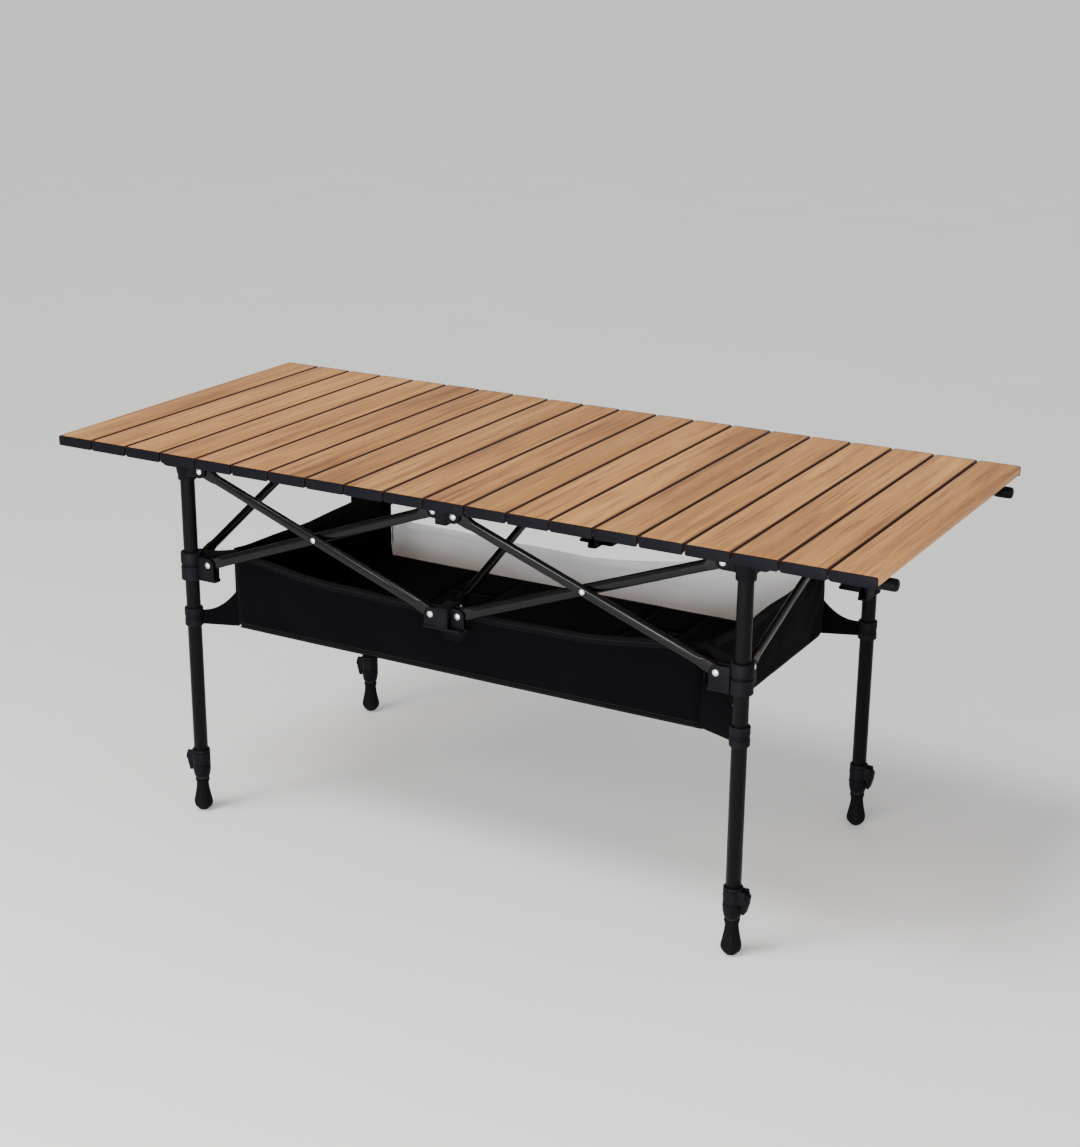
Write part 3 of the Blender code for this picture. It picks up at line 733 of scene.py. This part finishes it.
# ---- mid hubs -------------------------------------------------------------------------------
def make_hub(post, upper):
    """Mid hub: a block with a raised face plate and its forks, and a flange under a lower one."""
    side_name, depth = ("front", 1) if post == "fm" else ("back", -1)
    node = f"{'upper' if upper else 'lower'}_hub_{side_name}"
    body = "top_frame" if node == "upper_hub_front" else node
    outer = post_xy(post).y - depth * HUB_OUT
    near, far = sorted((outer, post_xy(post).y + depth * HUB_IN))
    low, high = (UPPER_Z - 0.0135, HEAD_TOP) if upper else LOWER_HUB_Z
    shape = Shape().box((-HUB_HALF, near, low), (HUB_HALF, far, high), 0.0016, 3)
    y0, y1 = sorted((outer, outer - depth * 0.0007))
    shape.box((-0.0058, y0, low + 0.0040), (0.0058, y1, high - 0.0040), 0.0004, 2)
    for fork in forks_on(post, upper):
        add_fork(shape, fork, upper, 0.004, low - LOWER_Z)
    if not upper:
        plate = rounded_rectangle((-0.0280, near - 0.0010), (0.0280, far - 0.0060), 0.0045, 5)
        shape.plate(plate, 0.0030, Matrix.Translation((0, 0, low + 0.0015)), 0.0008)
    shape.object(f"{node}_block", MOULDING, body, "black_moulding", (node,))


# ---- scissor arms ---------------------------------------------------------------------------
def add_rivet(shape, start, end, head=RIVET_HEAD):
    """A shank with a domed head outside each end, and a thin washer under each head."""
    way = (end - start).normalized()
    shape.rod(start, end, SHANK_R, 0.0003, 16)
    for point, out in ((start, -way), (end, way)):
        washer = [(0, 0), (head + 0.0004, 0), (head + 0.0004, 0.0004), (head, 0.0004)]
        dome = [(head * c, 0.0004 + 0.0016 * s) for c, s in map(polar, (20, 45, 65, 80))]
        shape.lathe(washer + dome + [(0, 0.0020)], point, out, 20)


def make_arm(pair, falling):
    """Flat-oval arm with rounded ends; its rivets are a separate, bright piece."""
    left, right, outward = PAIRS[pair]
    forks, across = FORKS[pair], Vector(outward)
    start = forks[left, True][3] if falling else forks[left, False][3]
    end = forks[right, False][3] if falling else forks[right, True][3]
    node = f"arm_{pair}_{'falling' if falling else 'rising'}"
    middle, along = (start + end) / 2, (end - start).normalized()
    up, half_height, half = across.cross(along), ARM_HEIGHT / 2, (end - start).length / 2
    stations = [half / 2, half - 0.028, half - 0.020]
    stations += [half + half_height * c for c, _ in map(polar, (90, 75, 60, 40, 20, 0))]
    rings = []
    for place in [-station for station in reversed(stations)] + [0] + stations:
        past = abs(place) - half
        tall = half_height if past < 0 else math.sqrt(max(half_height**2 - past**2, 1e-8))
        if past > -0.021:    # the pressed flat end, which fits the fork
            thick = ARM_THICK / 2 - 0.0004
            radius = min(0.0010, tall * 0.95)
            section = rounded_rectangle((-tall, -thick), (tall, thick), radius, 5)
        else:
            section = flat_oval(tall, ARM_THICK / 2)
        rings.append([middle + along * place + up * a + across * b for a, b in section])
    shape = Shape()
    shape.skin(rings)
    shape.object(node + "_tube", ARM, node, "black_tube", (node,))

    rivets = Shape()
    reach = across * (ARM_THICK / 2 + PLAY + FORK_WALL)
    for point in (start, end):
        add_rivet(rivets, point - reach, point + reach)
    if falling:
        inner = across * (ARM_THICK / 2 + 2 * ARM_OFFSET - PLAY)
        add_rivet(rivets, middle - inner, middle + across * ARM_THICK / 2, CROSSING_HEAD)
    rivets.object(node + "_rivets", RIVET, node, "black_tube")


# ---- storage bag ----------------------------------------------------------------------------
# wall: centre of its straight run, direction along it, outward normal, half length
WALLS = {
    "front": (Vector((0, -BAG_Y, 0)), ALONG, Vector((0, -1, 0)), BAG_X),
    "right": (Vector((BAG_X, 0, 0)), Vector((0, 1, 0)), ALONG, BAG_Y),
    "back": (Vector((0, BAG_Y, 0)), Vector((-1, 0, 0)), Vector((0, 1, 0)), BAG_X),
    "left": (Vector((-BAG_X, 0, 0)), Vector((0, -1, 0)), Vector((-1, 0, 0)), BAG_Y),
}


def wall_plan(side):
    """Points along one wall in plan, from half way round one corner to half way round the next.

    Each is (point, outward normal, signed distance from the wall's middle).
    """
    middle, along, out, half = WALLS[side]
    r = CORNER_ROUND
    straight = half - r

    def corner(place, *angles):
        for c, s in map(polar, angles):
            normal = out * c + along * s
            yield middle + along * place - out * r + normal * r, normal, place + r * s

    points = list(corner(-straight, -45, -34, -23, -11))
    for step in range(WALL_STEPS + 1):
        place = -straight + 2 * straight * step / WALL_STEPS
        points.append((middle + along * place, out, place))
    return points + list(corner(straight, 11, 23, 34, 45))


def hem_height(side, place):
    """Height of the bag's top edge: tied up at the corners, slack between them."""
    share = min(abs(place) / WALLS[side][3], 1)
    if side == "front":
        behind_hub = min(1, max(0, (0.026 - abs(place)) / 0.010))
        slack = 0.0035 * math.sin(math.pi * share) ** 2
        return 0.377 + 0.021 * share**1.8 - slack - 0.032 * behind_hub
    if side == "back":
        if place < 0:
            return 0.335 + min(0.063, 0.030 * (-place / 0.2) ** 1.6)
        return 0.334 + 0.005 * share**2
    return 0.388 + 0.010 * share**2


def cloth_ripple(side, place, drop, point):
    """Small standing folds: pulled from the tied corners, and slack waves under the hem."""
    half = WALLS[side][3]
    soft = noise.noise(Vector((point.x * 9, point.y * 9, point.z * 15 + len(side)))) * 0.0030
    fine = noise.noise(Vector((point.x * 30, point.y * 30, point.z * 24 + 7))) * 0.0009
    pull = 0.0
    for end in (-half, half):
        away = math.hypot(place - end, drop * 1.4) + 0.02
        angle = math.atan2(drop + 0.01, abs(place - end) + 0.01)
        pull += math.sin(angle * 17) * 0.0016 * math.exp(-away / 0.10)
    slack = math.sin(place * 2 * math.pi / 0.145 + len(side)) * 0.0016 * max(0.0, 1 - drop / 0.07)
    if side == "back":
        crease = noise.noise(Vector((point.x * 7 + point.z * 9, 2.5, point.z * 52)))
        soft += 0.0042 * crease * abs(crease) ** 0.3
    return soft + fine + pull + slack


def wall_rows(side):
    """The wall from its top hem down, turning under at the bottom to a lip below the floor."""
    plan = wall_plan(side)
    half = WALLS[side][3]
    rows = []
    for level in range(WALL_LEVELS + 1):
        row = []
        for point, normal, place in plan:
            top = hem_height(side, place)
            drop = (top - (BAG_FLOOR + LIP_ROUND)) * level / WALL_LEVELS
            calm = min(1.0, (half - abs(place)) / 0.03)
            bow = 0.0035 * math.sin(math.pi * level / WALL_LEVELS) * calm
            z = top - drop
            push = cloth_ripple(side, place, drop, point + UP * z) * calm - 0.0005 + bow * 0.5
            row.append(point + normal * min(push, 0.0028) + UP * z)
        rows.append(row)
    for c, s in map(polar, (18, 36, 54, 72, 90)):
        inward, z = LIP_ROUND * (1 - c), BAG_FLOOR + LIP_ROUND * (1 - s)
        rows.append([point - normal * inward + UP * z for point, normal, _ in plan])
    return rows


def binding(rows, material, name, body):
    """Folded binding tape over a wall's top edge."""
    top, below = rows[:2]
    section = rounded_rectangle((-HEM_THICK / 2, -HEM_HEIGHT), (HEM_THICK / 2, 0.0012), 0.0012, 2)

    def frame_of(index):
        before, after = top[max(index - 1, 0)], top[min(index + 1, len(top) - 1)]
        along = (after - before).normalized()
        down = (below[index] - top[index]).normalized()
        across = along.cross(down).normalized()
        return across, -down

    tape = Shape().sweep(top, section, frame_of)
    return tape.object(name, material, body, "black_cloth", smooth_deg=50)


def stitches(points, normals, name, body):
    """A row of lock stitches along a line of points, just proud of the cloth."""
    shape = Shape()
    carried = 0.0
    for (a, b), normal in zip(zip(points, points[1:]), normals):
        step = (b - a).length
        way = (b - a).normalized()
        while carried <= step:
            start = a + way * carried + normal * 0.0002
            side = way.cross(normal).normalized() * STITCH_R
            lift = normal * STITCH_R
            shape.skin([[centre + side, centre + lift, centre - side, centre - lift]
                        for centre in (start, start + way * STITCH_LENGTH)])
            carried += STITCH_PITCH
        carried -= step
    return shape.object(name, THREAD, body, "black_cloth", smooth_deg=60)


# wall: body it rides on, direction it gathers along, the point it gathers to, share kept
BAG_FOLD = {
    "front": ("lower_hub_front", (1, 0, 0), (0, -BAG_Y, 0.33), 0.12),
    "back": ("lower_hub_back", (1, 0, 0), (0, BAG_Y, 0.33), 0.12),
    "left": ("slider_lf", (0, 1, 0), (-BAG_X, -0.1663, 0.33), 0.05),
    "right": ("slider_rf", (0, 1, 0), (BAG_X, -0.1663, 0.33), 0.05),
}


def make_wall(side):
    """One bag wall with its binding and two rows of stitches, on the body it rides."""
    body, axis, anchor, keep = BAG_FOLD[side]
    rows = wall_rows(side)
    cloth, tape = (GREY_CLOTH, GREY_CLOTH) if side == "back" else (CLOTH, WEBBING)
    wall = Shape().grid(rows).object(f"bag_{side}", cloth, body, "black_cloth",
                                     thickness=CLOTH_THICK, smooth_deg=70)
    hem = binding(rows, tape, f"bag_hem_{side}", body)
    normals = [normal for _, normal, _ in wall_plan(side)]
    line = [a.lerp(b, 0.75) + n * 0.0014 for a, b, n in zip(rows[0], rows[1], normals)]
    seam = stitches(line, normals, f"bag_stitches_{side}", body)
    low = [row + n * 0.0005 for row, n in zip(rows[-5], normals)]
    low_seam = stitches(low, normals, f"bag_low_stitches_{side}", body)
    pieces = [hem, seam, low_seam]
    held = [f"slider_{corner}" for corner in CORNERS]
    held.append("lower_hub_front" if side == "front" else "lower_hub_back")
    for piece in [wall] + pieces:
        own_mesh(piece)
    return wall


def make_corner_seam(corner):
    """Piped seam down one vertical corner of the bag, and the tab that ties it to the slider."""
    side, depth = CORNERS[corner]
    out = Vector((side, depth, 0)).normalized()
    body = f"slider_{corner}"
    centre = Vector((side * (BAG_X - CORNER_ROUND), depth * (BAG_Y - CORNER_ROUND), 0))
    top = hem_height("right", BAG_Y)
    fall = top - BAG_FLOOR - LIP_ROUND
    path = [centre + out * (CORNER_ROUND + 0.0006) + UP * (top + 0.002 - fall * step / 10)
            for step in range(11)]
    for c, s in map(polar, (30, 60, 85)):
        path.append(centre + out * (CORNER_ROUND + 0.0006 - LIP_ROUND * (1 - c))
                    + UP * (BAG_FLOOR + LIP_ROUND * (1 - s)))
    section = arc((0, 0), PIPING_R, 0, 315, 7)
    across = out.cross(UP)

    def frame_of(index):
        a, b = path[max(index - 1, 0)], path[min(index + 1, len(path) - 1)]
        along = (b - a).normalized()
        return across, across.cross(along)

    piping = Shape().sweep(path, section, frame_of)
    piping.object(f"bag_piping_{corner}", WEBBING, body, "black_cloth", smooth_deg=60)
    start = centre + out * (CORNER_ROUND - 0.001) + UP * (top - 0.006)
    goal = post_xy(corner) - out * 0.0150 + UP * TAB_Z
    line = [start.lerp(goal, step / 6) + UP * (-0.0015 * math.sin(math.pi * step / 6))
            for step in range(7)]
    strip = rounded_rectangle((-0.0008, -0.006), (0.0008, 0.006), 0.0007, 2)
    tab = Shape().sweep(line, strip, lambda _: (across, UP))
    tab.object(f"bag_tab_{corner}", WEBBING, body, "black_cloth", smooth_deg=50)


def make_strap(corner):
    """Lower corner strap and the moulded collar that holds it on the leg."""
    side, depth = CORNERS[corner]
    foot = post_xy(corner)
    body = f"slider_{corner}"
    profile = [(0.0105, 0.2840), (0.0124, 0.2840), (0.0131, 0.2848), (0.0131, 0.2925),
               (0.0126, 0.2930), (0.0126, 0.2990), (0.0131, 0.2995), (0.0131, 0.3092),
               (0.0124, 0.3100), (0.0105, 0.3100), (0.0105, 0.2840)]
    collar = Shape().lathe(profile, foot, UP, 32)
    collar = collar.object(f"bag_collar_{corner}", MOULDING, body, "black_moulding")
    start = Vector((side * (BAG_X - 0.009), depth * (BAG_Y - 0.004), STRAP_Z))
    goal = foot + UP * STRAP_Z - Vector((side * 0.0112, depth * 0.0020, 0))
    across = (goal - start).cross(UP).normalized()
    reach, power, least = (0.042, 0.2, 0.06) if corner == "rf" else (0.034, 2.2, 0.0)
    rings = []
    for step in range(13):
        centre = start.lerp(goal, step / 12)
        high = 0.0108 + reach * max(1 - step / 12, least) ** power
        outline = rounded_rectangle((-0.0009, -0.0104), (0.0009, high), 0.0008, 2)
        rings.append([centre + across * a + UP * b for a, b in outline])
    strap = Shape()
    strap.skin(rings)
    strap = strap.object(f"bag_strap_{corner}", CLOTH, body, "black_cloth", smooth_deg=50)
    for piece in (collar, strap):
        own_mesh(piece)


def floor_point(x, y):
    """The floor hangs a little between its walls, with soft dents."""
    u, v = x / BAG_X, y / BAG_Y
    sag = -0.0030 * (1 - u**4) * (1 - v**4)
    dent = 0.0011 * noise.noise(Vector((x * 14, y * 14, 3)))
    return Vector((x, y, BAG_FLOOR + 0.0022 + sag + dent * (1 - v**4)))


def make_floor():
    """Floor cloth in panels, each on the body it rides."""
    edge_x, edge_y = BAG_X - 0.007, BAG_Y - 0.007
    seam_in, seam_out, seam_y = FOLDED_X, 0.189, 0.105
    hub, back_hub, along_x, along_y = "lower_hub_front", "lower_hub_back", (1, 0), (0, 1)
    # x range, y range, body, direction it gathers along, the point it gathers to
    panels = {
        "middle": ((-seam_in, seam_in), (-edge_y, edge_y), hub, along_y, (0, -0.1760)),
        "left_end": ((-edge_x, -seam_out), (-edge_y, edge_y), "slider_lf", along_y, (0, -0.1415)),
        "right_end": ((seam_out, edge_x), (-edge_y, edge_y), "slider_rf", along_y, (0, -0.1305)),
    }
    for name, side in (("left", -1), ("right", 1)):
        span = tuple(sorted((side * seam_in, side * seam_out)))
        panels[f"{name}_front"] = (span, (-edge_y, -seam_y), hub, along_x, (side * 0.1170, 0))
        panels[f"{name}_back"] = (span, (seam_y, edge_y), back_hub, along_x, (side * 0.1200, 0))
        c, s = polar(35)
        slanted = (side * s, c)
        panels[f"{name}_mid"] = (span, (-seam_y, seam_y), hub, slanted, (side * 0.0454, -0.1518))
    for name, ((x0, x1), (y0, y1), body, way, anchor) in panels.items():
        columns, count = (max(8, round(width / 0.012)) for width in (x1 - x0, y1 - y0))
        rows = [[floor_point(x0 + (x1 - x0) * i / columns, y0 + (y1 - y0) * j / count)
                 for i in range(columns + 1)] for j in range(count + 1)]
        panel = Shape().grid(rows).object(f"bag_floor_{name}", CLOTH, body, "black_cloth",
                                          thickness=CLOTH_THICK, smooth_deg=70)
        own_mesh(panel)


# ---- build ----------------------------------------------------------------------------------
for slat_number in range(1, SLAT_COUNT + 1):
    make_slat(slat_number)
make_cords()
for corner_name in CORNERS:
    make_leg(corner_name)
    make_inner_leg(corner_name)
    make_lever(corner_name)
    make_slider(corner_name)
    make_end_support(corner_name)
for mid_post in ("fm", "bm"):
    make_hub(mid_post, upper=True)
    make_hub(mid_post, upper=False)
for pair_name in PAIRS:
    make_arm(pair_name, falling=True)
    make_arm(pair_name, falling=False)
bag_walls = {wall_side: make_wall(wall_side) for wall_side in WALLS}
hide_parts("storage_bag")
make_floor()
for corner_name in CORNERS:
    make_corner_seam(corner_name)
    make_strap(corner_name)


# ---- floor, light and camera ----------------------------------------------------------------
def make_stage():
    """A pale studio floor just under the feet."""
    mesh = bpy.data.meshes.new("studio_floor")
    bm = bmesh.new()
    bmesh.ops.create_grid(bm, x_segments=1, y_segments=1, size=60)
    bm.to_mesh(mesh)
    bm.free()
    n = Nodes("studio_floor")
    mottle = n.noise(3.0, 3.0)
    mesh.materials.append(n.finish(n.mix(mottle, (0.80, 0.79, 0.77), (0.84, 0.83, 0.81)), 0.75))
    floor = add_object("studio_floor", mesh)
    floor.location.z = -0.0005


def aim(lamp, way):
    lamp.rotation_euler = way.to_track_quat("-Z", "Y").to_euler()


def area_light(name, place, target, size, watts, colour=(1, 1, 1)):
    data = bpy.data.lights.new(name, "AREA")
    data.shape = "RECTANGLE"
    data.size, data.size_y = size
    data.energy = watts
    data.color = colour
    lamp = add_object(name, data)
    lamp.location = place
    aim(lamp, Vector(target) - Vector(place))


def make_light():
    """A wide soft sun from the front left, four panels, and a dim even sky."""
    sun = bpy.data.lights.new("sky_panel", "SUN")
    sun.energy = 1.9
    sun.angle = math.radians(22)
    aim(add_object("sky_panel", sun), Vector((0.32, 0.42, -1.0)))
    area_light("key", (-1.7, -2.8, 2.4), (0, 0, 0.4), (0.9, 0.9), 46, (1.0, 0.985, 0.96))
    area_light("fill", (2.8, -1.8, 1.5), (0, 0, 0.35), (2.0, 2.0), 22, (0.97, 0.985, 1.0))
    area_light("low_front", (0.5, -3.0, 0.75), (0.05, 0.2, 0.33), (2.0, 0.7), 128)
    area_light("arm_glint", (-0.90, -3.19, 1.20), (0, -0.215, 0.44), (0.5, 0.5), 26)
    world = bpy.data.worlds.new("studio")
    world.use_nodes = True
    background = world.node_tree.nodes["Background"]
    background.inputs["Color"].default_value = (0.98, 0.985, 1.0, 1)
    background.inputs["Strength"].default_value = 0.55
    bpy.context.scene.world = world


def make_camera():
    """The viewing angle of the reference: 29.5 degrees round from the front, 18.7 above."""
    data = bpy.data.cameras.new("camera")
    data.sensor_fit = "HORIZONTAL"
    data.sensor_width = 36
    data.lens = 67.23
    place = Vector((1.3130, -2.2934, 1.2653))
    forward = Vector((-0.4658, 0.8245, -0.3213)).normalized()
    up = Vector((-0.1642, 0.2762, 0.9470))
    up = (up - forward * up.dot(forward)).normalized()
    camera = add_object("camera", data)
    camera.matrix_world = set_at(place, forward.cross(up), up)
    bpy.context.scene.camera = camera


make_stage()
make_light()
make_camera()
